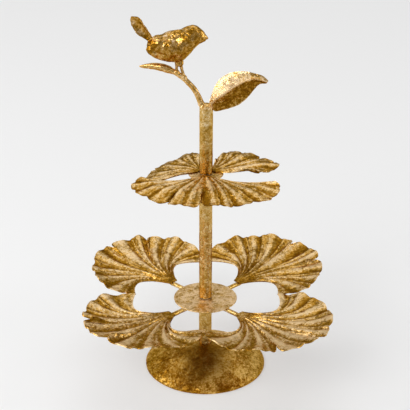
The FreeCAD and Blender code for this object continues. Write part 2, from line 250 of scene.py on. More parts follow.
# %% Crumpled facets


def crumpled(graph, place, normal, mottle, facets, size):
    warp = (0.010 * size,) * 3
    warped = graph.vector("MULTIPLY_ADD", mottle.other("Color"), warp, place)
    cells = graph.node(
        "ShaderNodeTexVoronoi", {"feature": "F1"}, {"Vector": warped, "Scale": FACET / size}
    ).other("Color")
    tip = graph.vector("MULTIPLY_ADD", cells, (facets,) * 3, normal)
    tip = graph.vector("NORMALIZE", graph.vector("ADD", tip, (-0.5 * facets,) * 3))
    crinkle = graph.noise(place, CRINKLE / size, 5, 0.65, 0.5)
    height = crinkle * 0.8 + mottle * 0.6
    return graph.node(
        "ShaderNodeBump", {}, {"Strength": 0.5, "Distance": 0.0012, "Height": height, "Normal": tip}
    )


print("facets", FACET, "to the metre")

# %% Gold-leaf finish


def gilding(name, tone=0.0, contrast=1.0, facets=0.4, ridge=None, painted_shade=None, size=1.0,
            painted_top_light=0.05, gloss=0.0, tint=(1.0, 1.0, 1.0)):
    """Antique gold leaf. tone shifts it darker or paler and contrast spreads its layers.

    ridge names a point attribute that paints the colour paler where it is high and darker where
    it is low, as painted light and shade. A darker patch, given as (centre, radius), is painted
    shade, and faces that look up are made paler by a painted top light. size scales the pattern,
    facets is the crumpling, gloss makes the leaf smoother and tint multiplies its red, green and
    blue.
    """
    material, graph, shader, place = new_finish(name)
    shader.inputs["Specular IOR Level"].default_value = 0.25
    shader.inputs["Specular Tint"].default_value = (0.95, 0.74, 0.40, 1.0)
    broad = graph.noise(place, BROAD / size, 3, 0.6)
    mottle = graph.noise(place, MOTTLE / size, 6, 0.72, 0.8)
    grain = graph.noise(place, GRAIN / size, 4, 0.7)
    normal = graph.node("ShaderNodeNewGeometry").other("Normal")
    upward = graph.part(normal, "Z")

    pattern = (broad - 0.5) * 0.35 + (mottle - 0.5) * 0.75 + (grain - 0.5) * 0.80
    layer = 0.5 + pattern * contrast + tone
    # faces that look up are made paler: a painted top light
    layer = layer + (upward - 0.5) * painted_top_light
    # the attribute paints light and shade into the colour: painted highlight where it is high,
    # painted shade where it is low
    if ridge:
        rib = graph.node("ShaderNodeAttribute", {"attribute_name": ridge}).other("Fac")
        layer = layer + (rib - 0.32) * 0.26
    colour = graph.node("ShaderNodeValToRGB", {"stops": LAYERS}, [layer])
    colour = graph.vector("MULTIPLY", colour, tint)
    # a darker patch of painted shade, its edge made ragged by the broad noise
    if painted_shade:
        centre, span = painted_shade
        ragged = graph.vector("DISTANCE", place, centre, out="Value") + (broad - 0.5) * span
        shade = (1.0 - ragged.step(0.25 * span, 1.1 * span)) * 0.8
        colour = graph.blend(shade, colour, SHADE)
    graph.feed(shader, "Base Color", colour)

    # the palest layer and the bare ground are duller than the gold between them
    pale = layer.step(0.55, 0.68)
    bare = 1.0 - layer.step(0.34, 0.46)
    graph.feed(shader, "Metallic", 1.0 - pale * 0.30 - bare * 0.20)
    rough = 0.31 - gloss + pale * 0.16 + bare * 0.14 + (mottle - 0.5) * 0.25
    graph.feed(shader, "Roughness", rough.math("MAXIMUM", 0.13))
    graph.feed(shader, "Normal", crumpled(graph, place, normal, mottle, facets, size))
    return material


# the foot gets a patch of painted shade on its front, under the tier
base_gilt = gilding("gilt_base", 0.018, 1.0, 0.22, painted_shade=((0, -0.030, 0.022), 0.050),
                    tint=(1.08, 0.98, 0.50))
post_gilt = gilding("gilt_post", 0.045, 0.62, 0.14, painted_top_light=0.0, gloss=0.13,
                    tint=(1.05, 1.12, 1.15))
disc_gilt = gilding("gilt_disc", 0.095, 0.90, 0.20)
leaf_gilt = gilding("gilt_leaf", 0.0, 0.80, 0.38, ridge="ridge", gloss=0.04,
                    tint=(1.0, 1.0, 0.95))
twig_gilt = gilding("gilt_twig", 0.070, 0.60, 0.15, painted_top_light=0.0, gloss=0.10,
                    tint=(1.15, 1.14, 1.14))
bird_gilt = gilding("gilt_bird", 0.015, 0.85, 0.45, gloss=0.10, size=1.6,
                    tint=(1.06, 1.06, 1.18))
blade_gilt = gilding("gilt_blade", 0.0, 1.0, 0.25, ridge="ridge", gloss=0.14)
print("gilt finishes", [m.name for m in bpy.data.materials if "gilt" in m.name])

# %% [markdown]
# ## Bare and plated metal
# Studs, plugs and the foot's bolt were turned on a lathe, which leaves fine lines round the
# axis. A noise squashed along that axis draws them, and a soft tarnish dulls them in places.

# %% Turned steel and zinc plate


def plain_metal(name, colour, rough, streak):
    """Turned or plated steel, with faint lines round the post's axis."""
    material, graph, shader, place = new_finish(name)
    shader.inputs["Metallic"].default_value = 1.0
    squashed = graph.node("ShaderNodeMapping", {}, {"Vector": place, "Scale": (40, 40, 2400)})
    lines = graph.noise(squashed, 1.0, 3, 0.6)
    tarnish_and_rim_shade = graph.noise(place, 180, 4, 0.6).step(0.45, 0.7)
    shade = graph.blend(tarnish_and_rim_shade * 0.5, colour, tuple(c * 0.55 for c in colour))
    graph.feed(shader, "Base Color", shade)
    graph.feed(shader, "Roughness", rough + lines * 0.15 + tarnish_and_rim_shade * 0.12)
    relief = {"Strength": streak, "Distance": 0.0002, "Height": lines}
    graph.feed(shader, "Normal", graph.node("ShaderNodeBump", {}, relief))
    return material


steel = plain_metal("turned_steel", (0.60, 0.58, 0.55), 0.28, 0.4)
zinc = plain_metal("zinc_plate", (0.72, 0.72, 0.70), 0.24, 0.15)
print("plain finishes", steel.name, zinc.name)

# %% [markdown]
# ## Helpers for meshes
# Most pieces are a row of closed rings joined by quads: a turned disc, a twig, a bird's trunk.
# So one loft function makes them all, and a few others finish a mesh, hammer it a little so
# that nothing is machine-perfect, and hand the piece over to the frame.

# %% Loft, finish and hand over


def show(name, data):
    """An object for a mesh, a lamp or a lens, linked into the scene."""
    thing = bpy.data.objects.new(name, data)
    bpy.context.scene.collection.objects.link(thing)
    return thing


def mesh_piece(name, points, faces, material):
    mesh = bpy.data.meshes.new(name)
    mesh.from_pydata([tuple(p) for p in points], [], faces)
    mesh.validate()
    mesh.materials.append(material)
    return show(name, mesh)


def face_out(mesh):
    """Merge doubles and turn every face outwards."""
    work = bmesh.new()
    work.from_mesh(mesh)
    bmesh.ops.remove_doubles(work, verts=work.verts, dist=1e-6)
    bmesh.ops.recalc_face_normals(work, faces=work.faces)
    work.to_mesh(mesh)
    work.free()


def loft(name, rings, material, closed=False):
    """Quads between rings of equal length. Open ends are capped by a fan to the middle."""
    count = len(rings[0])
    points = [p for ring in rings for p in ring]
    faces = []
    spans = len(rings) if closed else len(rings) - 1
    for k in range(spans):
        a = k * count
        b = (k + 1) % len(rings) * count
        for i in range(count):
            j = (i + 1) % count
            faces.append((a + i, a + j, b + j, b + i))
    if not closed:
        for start, flip in ((0, True), ((len(rings) - 1) * count, False)):
            middle = np.mean(points[start:start + count], axis=0)
            points.append(middle)
            tip = len(points) - 1
            for i in range(count):
                j = (i + 1) % count
                faces.append((start + j, start + i, tip) if flip else (start + i, start + j, tip))
    piece = mesh_piece(name, points, faces, material)
    face_out(piece.data)
    return piece


def finish_mesh(piece, angle=40.0):
    piece.data.shade_smooth()
    piece.data.set_sharp_from_angle(angle=math.radians(angle))


def settle(piece):
    """Turn a piece and its modifiers into one plain mesh."""
    graph = bpy.context.evaluated_depsgraph_get()
    graph.update()
    mesh = bpy.data.meshes.new_from_object(piece.evaluated_get(graph))
    piece.modifiers.clear()
    piece.data = mesh
    mesh.name = piece.name


def hammer(piece, amount, size, seed=0.0):
    """Push points along their normals by a smooth noise, as hand work leaves them."""
    mesh = piece.data
    shift = Vector((seed, seed * 1.7, -seed))
    normals = [v.normal.copy() for v in mesh.vertices]
    for vertex, normal in zip(mesh.vertices, normals):
        vertex.co += normal * (amount * noise.noise(vertex.co / size + shift))


def hand_over(piece, body, slot, *nodes):
    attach(piece, body)
    if nodes:
        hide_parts(*nodes)
    triangles = sum(len(f.vertices) - 2 for f in piece.data.polygons)
    print(f"{piece.name}: {triangles} triangles on {body}")


print("mesh helpers ready")

# %% [markdown]
# A round or oval ring and a smooth path through a few points are what the lofts below need.
# Sizes typed in millimetres go through one small function, so that each list is easy to read.

# %% Rings, paths, turned pieces and rods


def mm(*sizes):
    return [size * MM for size in sizes]


def circle_ring(centre, across, up, half_across, half_up, count):
    """An oval of count points with its two half sizes along across and up."""
    centre, across, up = np.array(centre), np.array(across), np.array(up)
    turns = [2 * math.pi * i / count for i in range(count)]
    return [
        centre + across * half_across * math.cos(a) + up * half_up * math.sin(a) for a in turns
    ]


def smooth_path(points, steps):
    """Catmull-Rom through the points, steps samples for each span."""
    p = [np.array(q, float) for q in points]
    p = [2 * p[0] - p[1], *p, 2 * p[-1] - p[-2]]
    out = []
    for k in range(1, len(p) - 2):
        for step in range(steps):
            t = step / steps
            out.append(0.5 * (
                2 * p[k] + (p[k + 1] - p[k - 1]) * t
                + (2 * p[k - 1] - 5 * p[k] + 4 * p[k + 1] - p[k + 2]) * t ** 2
                + (3 * p[k] - p[k - 1] - 3 * p[k + 1] + p[k + 2]) * t ** 3
            ))
    out.append(p[-2])
    return np.array(out)


def turned(name, profile, material, segments=144):
    """A closed (radius, height) profile turned about the post's axis."""
    turns = [2 * math.pi * i / segments for i in range(segments)]
    rings = [[(r * math.cos(a), r * math.sin(a), z) for a in turns] for r, z in profile]
    return loft(name, rings, material, closed=True)


def rod(name, path, radii, material, count=28):
    """A round rod along a path; radii are spread evenly over it."""
    share = np.linspace(0, 1, len(path))
    spread = np.interp(share, np.linspace(0, 1, len(radii)), radii)
    rings = []
    side = np.array([0.0, 1.0, 0.0])
    for k, point in enumerate(path):
        along = path[min(k + 1, len(path) - 1)] - path[max(k - 1, 0)]
        along = along / np.linalg.norm(along)
        across = side - along * side.dot(along)
        across /= np.linalg.norm(across)
        up = np.cross(along, across)
        rings.append(circle_ring(point, across, up, spread[k], spread[k], count))
    return loft(name, rings, material)


print("rings, paths and rods ready")

# %% [markdown]
# ## Foot
# The foot is one spun dish. Its side is a slow convex curve, close to an arc of a large
# circle, from the flat under the post down to a thin turned lip. Spinning leaves faint rings
# and the gilder's ground hides them, so the turned mesh gets a gentle unevenness instead.

# %% Foot dish


def make_foot():
    outer = radius("base_dish")
    top = level("base_dish", 1)
    wall = 1.6 * MM
    lip_top = 3 * MM
    flat = 11 * MM
    bolt = 3.1 * MM
    crown = 150 * MM
    chord = math.hypot(outer - flat, top - lip_top)
    sag = crown - math.sqrt(crown ** 2 - chord ** 2 / 4)
    side = []
    for t in np.linspace(0, 1, 41).tolist():
        r = outer + (flat - outer) * t
        z = lip_top + (top - lip_top) * t
        bulge = sag * 4 * t * (1 - t)
        side.append((r + bulge * (top / chord), z + bulge * (outer - flat) / chord))
    lip = [(outer - wall, 0), (outer - 0.5 * MM, 0), (outer, 0.5 * MM)]
    inside = [(r - wall * 0.4, z - wall) for r, z in side[::-1] if z > lip_top + 0.6 * MM]
    hole = [(bolt, top), (bolt, top - wall)]
    foot = turned("foot_dish", lip + side + hole + inside + [(outer - wall, 2 * MM)], base_gilt, 200)
    hammer(foot, 0.35 * MM, 14 * MM, 3.0)
    hammer(foot, 0.12 * MM, 4 * MM, 5.0)
    # the hammering may not lift the dish past its own box
    for vertex in foot.data.vertices:
        vertex.co.z = min(max(vertex.co.z, 0.0), top)
        flat_radius = math.hypot(vertex.co.x, vertex.co.y)
        if flat_radius > outer:
            vertex.co.x *= outer / flat_radius
            vertex.co.y *= outer / flat_radius
    finish_mesh(foot)
    hand_over(foot, "foot", "gilt_base", "base_dish")


make_foot()

# %% [markdown]
# ## Post
# Three lengths of one tube. Each is turned with eased ends, so that a fine line shows where it
# meets a disc, and gets a slight waviness, because a perfect cylinder gives ruler-straight
# highlights that gilded tube never has.

# %% Post sections

POST_SECTIONS = {"lower_post": "foot", "middle_post": "middle_section", "top_post": "finial"}


def make_post():
    for name, body in POST_SECTIONS.items():
        foot, top = level(name, 0), level(name, 1)
        outer, inner, ease = radius(name), radius(name) - 1.2 * MM, 0.4 * MM
        wall = [(outer, z) for z in np.linspace(foot + ease, top - ease, 60)]
        # the top section runs on into the fork, so its upper end isn't eased
        shoulder = outer if name == "top_post" else outer - ease
        profile = [(inner, foot), (outer - ease, foot), *wall, (shoulder, top), (inner, top)]
        tube = turned(f"{name}_tube", profile, post_gilt, 96)
        hammer(tube, 0.16 * MM, 9 * MM, 1.0)
        for vertex in tube.data.vertices:
            vertex.co.z = min(max(vertex.co.z, foot), top)
        finish_mesh(tube)
        hand_over(tube, body, "gilt_post", name)


make_post()

# %% [markdown]
# ## Discs
# Each tier hangs on a flat disc clamped between two sections. The discs get the palest tone,
# and their flat tops a little painted top light. They are turned with a rounded edge.

# %% Tier discs


def make_disc(node, body, name):
    foot, top = level(node, 0), level(node, 1)
    outer, hole, ease = radius(node), 4.05 * MM, 0.5 * MM
    inside = np.linspace(hole, outer - ease, 24)
    profile = [(r, foot) for r in inside]
    profile += [(outer, foot + ease), (outer, top - ease)]
    profile += [(r, top) for r in inside[::-1]]
    disc = turned(name, profile, disc_gilt, 120)
    # the seat under the post stays flat; past it the top is uneven by a quarter millimetre
    seat = post_radius + 2 * MM
    dent, spacing = 0.25 * MM, 7 * MM
    for vertex in disc.data.vertices:
        if math.hypot(vertex.co.x, vertex.co.y) > seat and foot + ease < vertex.co.z:
            vertex.co.z -= dent * (0.5 + 0.5 * noise.noise(vertex.co / spacing))
    finish_mesh(disc)
    hand_over(disc, body, "gilt_post", node)


make_disc("lower_disc_plate", "lower_tier", "lower_disc")
make_disc("upper_disc_plate", "upper_tier", "upper_disc")

# %% [markdown]
# ## The fan leaf, as a rule
# Seven leaves share one rule, so Geometry Nodes make them. Each rib leaves the narrow neck,
# bends over an elbow and ends on the outline: a quadratic curve from the neck through the
# elbow to the rim. A grid gives each point its run along a rib, 0 at the neck and 1 at the
# rim, and its share of the fan, -1 on one wing and 1 on the other. The outline comes in as a
# curve and is sampled by share.

# %% Named inputs of the fan

FAN_INPUTS = {
    "Neck": 0.058, "Neck Half": 0.006, "Elbow": 0.113, "Elbow Half": 0.0295,
    "Rise": 0.012, "Rise Power": 4.0, "Wing Drop": 0.85, "Lip": 0.0, "Sag": 0.0,
    "Ribs": 7.0, "Rib Depth": 0.0024, "Scallop": 0.03, "Notch A": -0.3, "Notch B": 0.04,
    "Notch Depth": 0.08, "Ruffle": 0.002, "Bend": 0.0, "Roll": 0.0, "Disc": 1.0,
    "Crinkle": 0.0003, "Seed": 0.0, "Rim Tone": 0.25, "Wash": 0.0,
    "Azimuth": 0.0, "Seat": 0.0,
}


def fan_interface(tree):
    """The tree's sockets: a curve comes in with the sizes and the material, a leaf goes out."""
    tree.interface.new_socket("Geometry", in_out="INPUT", socket_type="NodeSocketGeometry")
    for name, value in FAN_INPUTS.items():
        socket = tree.interface.new_socket(name, in_out="INPUT", socket_type="NodeSocketFloat")
        socket.default_value = value
    tree.interface.new_socket("Material", in_out="INPUT", socket_type="NodeSocketMaterial")
    tree.interface.new_socket("Geometry", in_out="OUTPUT", socket_type="NodeSocketGeometry")


print("fan inputs", len(FAN_INPUTS))

# %% [markdown]
# The ribs are a cosine over the share. A slow noise moves them a little, so that no two gaps
# are equal. Their crests are a little narrower than the furrows, and a finer rib rises between
# each two towards the rim.

# %% Ribs


def fan_ribs(graph, given, share, run):
    """Gives the phase of the ribs, the wave they make and the height of the crests, 0 to 1."""
    place = graph.point(share * 2.2, run * 0.5 + given["Seed"], 0.0)
    drift = graph.node(
        "ShaderNodeTexNoise", {"noise_dimensions": "2D"},
        {"Vector": place, "Scale": 1.0, "Detail": 1.0},
    )
    phase = (share + (drift - 0.5) * 0.24 + 1.0) * given["Ribs"] * math.pi
    wave = phase.math("COSINE") * 0.5 + 0.5
    between = ((phase * 2.0 + 1.2).math("COSINE") * 0.5 + 0.5) ** 2.0
    fine = between * (1.0 - wave) * run.step(0.30, 0.75)
    return phase, wave, (wave ** 1.35 + fine * 0.7).math("MINIMUM", 1.0)


print("rib rule ready")

# %% [markdown]
# The rim falls short of the outline in small scallops between the crests, and in two deeper
# notches, as a ginkgo leaf splits. The two corners of the fan stay whole.

# %% Rim


def fan_rim(graph, given, share, run, side, wave):
    """How far along its rib a point gets, with the scallops and the notches taken off."""
    def notch(place, width):
        away = (share - given[place] + (run - 1.0) * 0.05) / width
        return given["Notch Depth"] * (away * away * -1.0).math("EXPONENT")

    uneven = graph.node(
        "ShaderNodeTexNoise", {"noise_dimensions": "1D"},
        {"W": share * 6.0 + given["Seed"] * 3.1, "Scale": 1.0, "Detail": 2.0},
    )
    scallops = given["Scallop"] * ((1.0 - wave) ** 3.0 * 0.8 + uneven * 0.9)
    short = scallops * (1.0 - side.step(0.86, 0.97))
    short = short + notch("Notch A", 0.016) + notch("Notch B", 0.020)
    return run * (1.0 - short)


def fan_curve(graph, given, share, reached):
    """The place along and across the leaf, on the curve from neck through elbow to outline."""
    outline = graph.node("GeometryNodeMeshToCurve", {}, [given["Geometry"]])
    sampled = graph.node(
        "GeometryNodeSampleCurve", {"mode": "FACTOR"},
        {"Curves": outline, "Factor": share * 0.5 + 0.5},
    ).other("Position")
    first = (1.0 - reached) * (1.0 - reached)
    second = reached * (1.0 - reached) * 2.0
    third = reached * reached
    along = given["Neck"] * first + given["Elbow"] * second + graph.part(sampled, "X") * third
    across = share * given["Neck Half"] * first + share * given["Elbow Half"] * second
    return along, across + graph.part(sampled, "Y") * third


print("rim rule ready")

# %% [markdown]
# The height of a point adds up what the maker did in turn: the leaf is dished or its wings are
# let down, its lip is turned, its ribs are pressed, its rim ruffled, and past the edge of the
# disc it is bent and rolled.

# %% Height


def fan_height(graph, given, share, run, side, phase, relief, along, across):
    lift = given["Rise"] * run ** given["Rise Power"] * (1.0 - given["Wing Drop"] * side ** 2.5)
    lip = run.step(0.78, 1.01) * (1.0 - side ** 5.0) * given["Lip"]
    sag = (run * math.pi).math("SINE") * side * side * given["Sag"]
    ribs = relief * given["Rib Depth"]
    ruffle = (phase * 0.5 + given["Seed"]).math("SINE") * run.step(0.72, 1.0) * given["Ruffle"]
    ruffle = ruffle * (1.0 - side.step(0.85, 0.98))
    past = (along - given["Disc"]).math("MAXIMUM", 0.0)
    past = past * past / (past + 0.010)
    rolled = given["Roll"] * across * (past / given["Disc"]).math("MINIMUM", 1.0)
    spot = graph.point(along, across, given["Seed"] * 0.1)
    dents = (graph.noise(spot, 150.0, 3, 0.6) - 0.5) * given["Crinkle"] * 2.0
    dents = dents * run.step(0.02, 0.2)
    bent = given["Bend"] * past - rolled
    return lift - lip - sag + ribs + ruffle + bent + dents + given["Seat"]


print("height rule ready")

# %% [markdown]
# The tree lays out the grid, works out the rules above and moves each point to its place. It
# keeps the ribs as an attribute for the finish, which paints light and shade with it: painted
# highlight on the crests, painted shade in the furrows and more painted shade towards the rim,
# with a tone lift added.

# %% Geometry Nodes tree for a fan leaf


def fan_tree(columns, rows):
    tree = bpy.data.node_groups.new("fan_leaf", "GeometryNodeTree")
    fan_interface(tree)
    graph = Graph(tree)
    entry = graph.node("NodeGroupInput")
    given = {name: entry.other(name) for name in (*FAN_INPUTS, "Material", "Geometry")}
    grid = graph.node(
        "GeometryNodeMeshGrid", {},
        {"Size X": 1.0, "Size Y": 1.0, "Vertices X": columns, "Vertices Y": rows},
    )
    at = graph.node("GeometryNodeInputPosition")
    share = graph.part(at, "X") * -2.0
    run = graph.part(at, "Y") + 0.5
    side = share.math("ABSOLUTE")

    phase, wave, ridge = fan_ribs(graph, given, share, run)
    reached = fan_rim(graph, given, share, run, side, wave)
    along, across = fan_curve(graph, given, share, reached)
    relief = ridge * (run.step(0.0, 0.35) * (0.55 + 0.45 * run))
    height = fan_height(graph, given, share, run, side, phase, relief, along, across)

    turn = given["Azimuth"]
    east = along * turn.math("COSINE") - across * turn.math("SINE")
    north = along * turn.math("SINE") + across * turn.math("COSINE")
    place = graph.point(east, north, height)
    # painted shade towards the rim, stored with the ribs' painted light and shade and the tone lift
    tarnish_and_rim_shade = run.step(0.66, 0.95) * given["Rim Tone"]
    shape = graph.node(
        "GeometryNodeStoreNamedAttribute", {"data_type": "FLOAT", "domain": "POINT"},
        {"Geometry": grid, "Name": "ridge", "Value": relief - tarnish_and_rim_shade + given["Wash"]},
    )
    shape = graph.node("GeometryNodeSetPosition", {}, {"Geometry": shape, "Position": place})
    shape = graph.node("GeometryNodeRealizeInstances", {}, [shape])
    dressed = {"Geometry": shape, "Material": given["Material"]}
    shape = graph.node("GeometryNodeSetMaterial", {}, dressed)
    graph.feed(tree.nodes.new("NodeGroupOutput"), "Geometry", shape)
    return tree


fan = fan_tree(281, 64)
print("fan tree", len(fan.nodes), "nodes")

# %% [markdown]
# ## Making a leaf from the rule
# The outline is typed as a few (along, across) shares of the leaf's reach. The modifier's
# inputs are set by socket identifier, then the tree and a Solidify are turned into a plain
# mesh. Angles are given in degrees; a bend or a roll becomes the slope that the rule uses.

# %% Leaf maker

LEAF_THICK = 1.6 * MM


def slope(angle):
    return math.tan(math.radians(angle))


def make_leaf(name, node, body, outline, length, azimuth, bend=0, roll=0, **sizes):
    path = smooth_path([(a * length, b * length, 0) for a, b in outline], 12)
    mesh = bpy.data.meshes.new(name)
    mesh.from_pydata([tuple(p) for p in path], [(i, i + 1) for i in range(len(path) - 1)], [])
    leaf = show(name, mesh)
    rule = leaf.modifiers.new("fan", "NODES")
    rule.node_group = fan
    names = {s.name: s.identifier for s in fan.interface.items_tree if s.in_out == "INPUT"}
    sizes |= {"azimuth": math.radians(azimuth), "bend": slope(bend), "roll": slope(roll)}
    for key, value in sizes.items():
        rule[names[key.replace("_", " ").title()]] = float(value)
    rule[names["Material"]] = leaf_gilt
    wall = leaf.modifiers.new("wall", "SOLIDIFY")
    wall.thickness = 1.5 * MM
    wall.offset = -1.0
    settle(leaf)
    finish_mesh(leaf, 50)
    hand_over(leaf, body, "gilt_leaf", node)


print("leaf maker ready")

# %% [markdown]
# ## Lower tier's leaves
# Four leaves stand at the corners of a square. They were cast from one pattern, so they share
# an outline, half of it typed and the other half mirrored, and their sizes; each is dressed by
# hand, which the seed and a small difference in length stand for.

# %% Lower leaves

CORNERS = {"back_right": 45, "back_left": 135, "front_left": 225, "front_right": 315}
LOWER_HALF = [
    (0.350, 0.348), (0.402, 0.400), (0.468, 0.442), (0.60, 0.455), (0.745, 0.41),
    (0.875, 0.305), (0.968, 0.15), (1.0, 0.0),
]
LOWER = dict(
    neck=0.058, neck_half=0.006, elbow=0.113, elbow_half=0.0295, rise=0.013, rise_power=4.5,
    wing_drop=0.85, ribs=10, rib_depth=0.0030, scallop=0.026, ruffle=0.0018,
    notch_a=-0.30, notch_b=0.05, notch_depth=0.12, seat=lower_seat + LEAF_THICK,
)


def mirrored(half):
    return [(a, -b) for a, b in half] + half[-2::-1]


# a leaf turned by 45 degrees gets this share of its length out along X
lower_length = reach / 0.835
# the two front leaves get a tone lift, which is painted light
for name, share, seed in (
    ("back_right", 0.995, 1.3),
    ("back_left", 0.965, 2.1),
    ("front_left", 0.965, 3.7),
    ("front_right", 1.0, 5.2),
):
    make_leaf(
        f"lower_fan_{name}", f"lower_leaf_{name}", "lower_tier", mirrored(LOWER_HALF),
        lower_length * share, CORNERS[name], seed=seed, wash=0.15 if "front" in name else 0.0,
        **LOWER,
    )

# %% [markdown]
# ## Upper tier's leaves
# Three wider leaves spread from the disc itself. They are cut by hand and no two wings match,
# so each has its whole outline, right wing first, and its own bend, lip and number of ribs.

# %% Upper leaves

FRONT_OUTLINE = [
    (0.25, -0.92), (0.43, -1.08), (0.62, -0.98), (0.80, -0.78), (0.93, -0.50), (0.98, -0.22),
    (0.95, 0.0), (0.97, 0.28), (0.92, 0.58), (0.79, 0.88), (0.62, 1.04), (0.48, 1.06),
    (0.40, 0.98),
]
BACK_RIGHT_OUTLINE = [
    (0.46, -0.27), (0.72, -0.47), (0.90, -0.50), (1.03, -0.40), (1.03, -0.16), (0.95, 0.08),
    (0.90, 0.30), (0.80, 0.45), (0.62, 0.45), (0.46, 0.36), (0.36, 0.26),
]
BACK_LEFT_OUTLINE = [
    (0.29, -0.46), (0.44, -0.58), (0.62, -0.57), (0.80, -0.46), (0.93, -0.20), (0.98, 0.0),
    (0.98, 0.25), (0.88, 0.50), (0.68, 0.63), (0.46, 0.57),
]
UPPER_LENGTH = 0.083
# the upper leaves get more painted shade towards the rim than the lower ones
UPPER = dict(
    neck=0.0095, neck_half=0.0035, rise=0.002, rise_power=2.0, wing_drop=0.0,
    rib_depth=0.0015, ruffle=0.0012, crinkle=0.0003, rim_tone=0.45, wash=0.12,
    notch_a=-0.35, notch_b=0.0, notch_depth=0.07,
    disc=radius("upper_disc_plate"), seat=upper_seat + LEAF_THICK,
)
UPPER_LEAVES = {
    "front": (FRONT_OUTLINE, dict(
        azimuth=-90, bend=-4, elbow=0.021, elbow_half=0.034, lip=0.008, sag=0.0050, ribs=11,
        scallop=0.030, seed=0.4)),
    "back_right": (BACK_RIGHT_OUTLINE, dict(
        azimuth=34, bend=6, elbow=0.029, elbow_half=0.021, lip=0.006, sag=0.001, ribs=7,
        scallop=0.020, seed=1.9)),
    "back_left": (BACK_LEFT_OUTLINE, dict(
        azimuth=148, bend=-16, roll=8, elbow=0.026, elbow_half=0.029, lip=0.006, sag=0.001,
        ribs=8, scallop=0.022, seed=2.8)),
}
for name, (outline, sizes) in UPPER_LEAVES.items():
    make_leaf(
        f"upper_fan_{name}", f"upper_leaf_{name}", "upper_tier", outline, UPPER_LENGTH,
        **sizes, **UPPER,
    )

# %% [markdown]
# ## Rods under the lower disc
# Four round rods run from under the disc to the leaf necks. Each is brazed at both ends and
# dressed with a file there, so the rods are a little thinner where they go in.

# %% Lower rods


def make_rods():
    thick = 2.8 * MM
    inner, outer = 16 * MM, 67 * MM
    radii = [thick * share for share in (0.8, 1, 1, 1, 1, 1, 1, 1.05, 0.8)]
    for name, azimuth in CORNERS.items():
        node = f"lower_arm_{name}"
        middle = (level(node, 0) + level(node, 1)) / 2
        turn = math.radians(azimuth)
        path = np.array([
            (d * math.cos(turn), d * math.sin(turn), middle) for d in np.linspace(inner, outer, 40)
        ])
        piece = rod(f"rod_{name}", path, radii, post_gilt, 24)
        hammer(piece, 0.12 * MM, 4 * MM, azimuth)
        finish_mesh(piece)
        hand_over(piece, "lower_tier", "gilt_post", node)


make_rods()

# %% [markdown]
# ## Forked twig
# The post's end, the twig and the leaf's short stalk are one casting with soft hollows between.
# Plain tubes pushed into each other would show hard creases, so they are made rough, fused by
# a voxel remesh and smoothed, which rounds every junction the way wax does.

# %% Fuse helper


def fused(name, parts, voxel, smoothing, material):
    """Several closed meshes made one skin, then smoothed."""
    work = bmesh.new()
    for part in parts:
        work.from_mesh(part.data)
        bpy.data.objects.remove(part)
    mesh = bpy.data.meshes.new(name)
    work.to_mesh(mesh)
    work.free()
    piece = show(name, mesh)
    mesh.materials.append(material)
    skin = piece.modifiers.new("skin", "REMESH")
    skin.mode = "VOXEL"
    skin.voxel_size = voxel
    ease = piece.modifiers.new("ease", "SMOOTH")
    ease.factor = 0.5
    ease.iterations = smoothing
    settle(piece)
    if not piece.data.materials:
        piece.data.materials.append(material)
    return piece


def blob(name, centre, axes, sizes, material):
    """An ellipsoid with its three half sizes along three given axes."""
    rings = []
    first, second, third = (np.array(a) * s for a, s in zip(axes, sizes))
    for k in range(1, 24):
        polar = math.pi * k / 24
        middle = np.array(centre) + first * math.cos(polar)
        rings.append([
            middle + (second * math.cos(a) + third * math.sin(a)) * math.sin(polar)
            for a in (2 * math.pi * i / 32 for i in range(32))
        ])
    return loft(name, rings, material)


def above_fork(points):
    """Points typed as (across, up) in mm from the middle of the fork's top, in the plane y = 0."""
    return [(a * MM, 0.0, fork_top + b * MM) for a, b in points]


SQUARE_ON = ((1, 0, 0), (0, 1, 0), (0, 0, 1))
print("fuse helper ready")

# %% Twig


def make_twig():
    foot = level("top_post", 1)
    stub_path = np.array([(0, 0, foot + up) for up in mm(0.05, 1.5, 3.4, 5.4)])
    stub_radii = [post_radius, post_radius, post_radius * 0.90, post_radius * 0.45]
    stub = rod("stub", stub_path, stub_radii, twig_gilt, 64)
    twig_path = smooth_path(above_fork([
        (-3.2, -5.5), (-5.2, -1.5), (-9.4, 8.9), (-14.4, 18.2), (-21.8, 26.6), (-30.4, 34.4),
        (-38.9, 39.4),
    ]), 10)
    twig = rod("twig", twig_path, mm(4.7, 4.4, 3.5, 3.3, 3.2, 3.1, 3.1, 2.9), twig_gilt)
    stalk_path = smooth_path(above_fork([(3.4, -5.5), (4.6, -2.4), (7.4, 0.6)]), 8)
    stalk = rod("stalk", stalk_path, mm(4.0, 3.2, 1.6), twig_gilt)
    knobs = [
        blob("knob", centre, SQUARE_ON, mm(4.2, 3.6, 3.4), twig_gilt)
        for centre in above_fork([(-34.8, 38.2), (-26.4, 32.0)])
    ]
    piece = fused("fork_and_twig", [stub, twig, stalk, *knobs], 0.6 * MM, 8, twig_gilt)
    # the stub's foot is drawn out to the post's own radius and flat on its top
    for vertex in piece.data.vertices:
        if vertex.co.z < foot + 2.5 * MM:
            away = math.hypot(vertex.co.x, vertex.co.y)
            if away > post_radius * 0.8:
                vertex.co.x *= post_radius / away
                vertex.co.y *= post_radius / away
            if vertex.co.z < foot + 0.8 * MM:
                vertex.co.z = foot
    hammer(piece, 0.25 * MM, 5 * MM, 2.0)
    finish_mesh(piece)
    hand_over(piece, "finial", "gilt_bird", "forked_twig")


make_twig()

# %% [markdown]
# ## Slender leaf at the twig's end
# A closed bud-like leaf: a loft of flattened rings that swells from the twig and runs out to a
# point, with a shallow groove along its top.

# %% Perch leaf


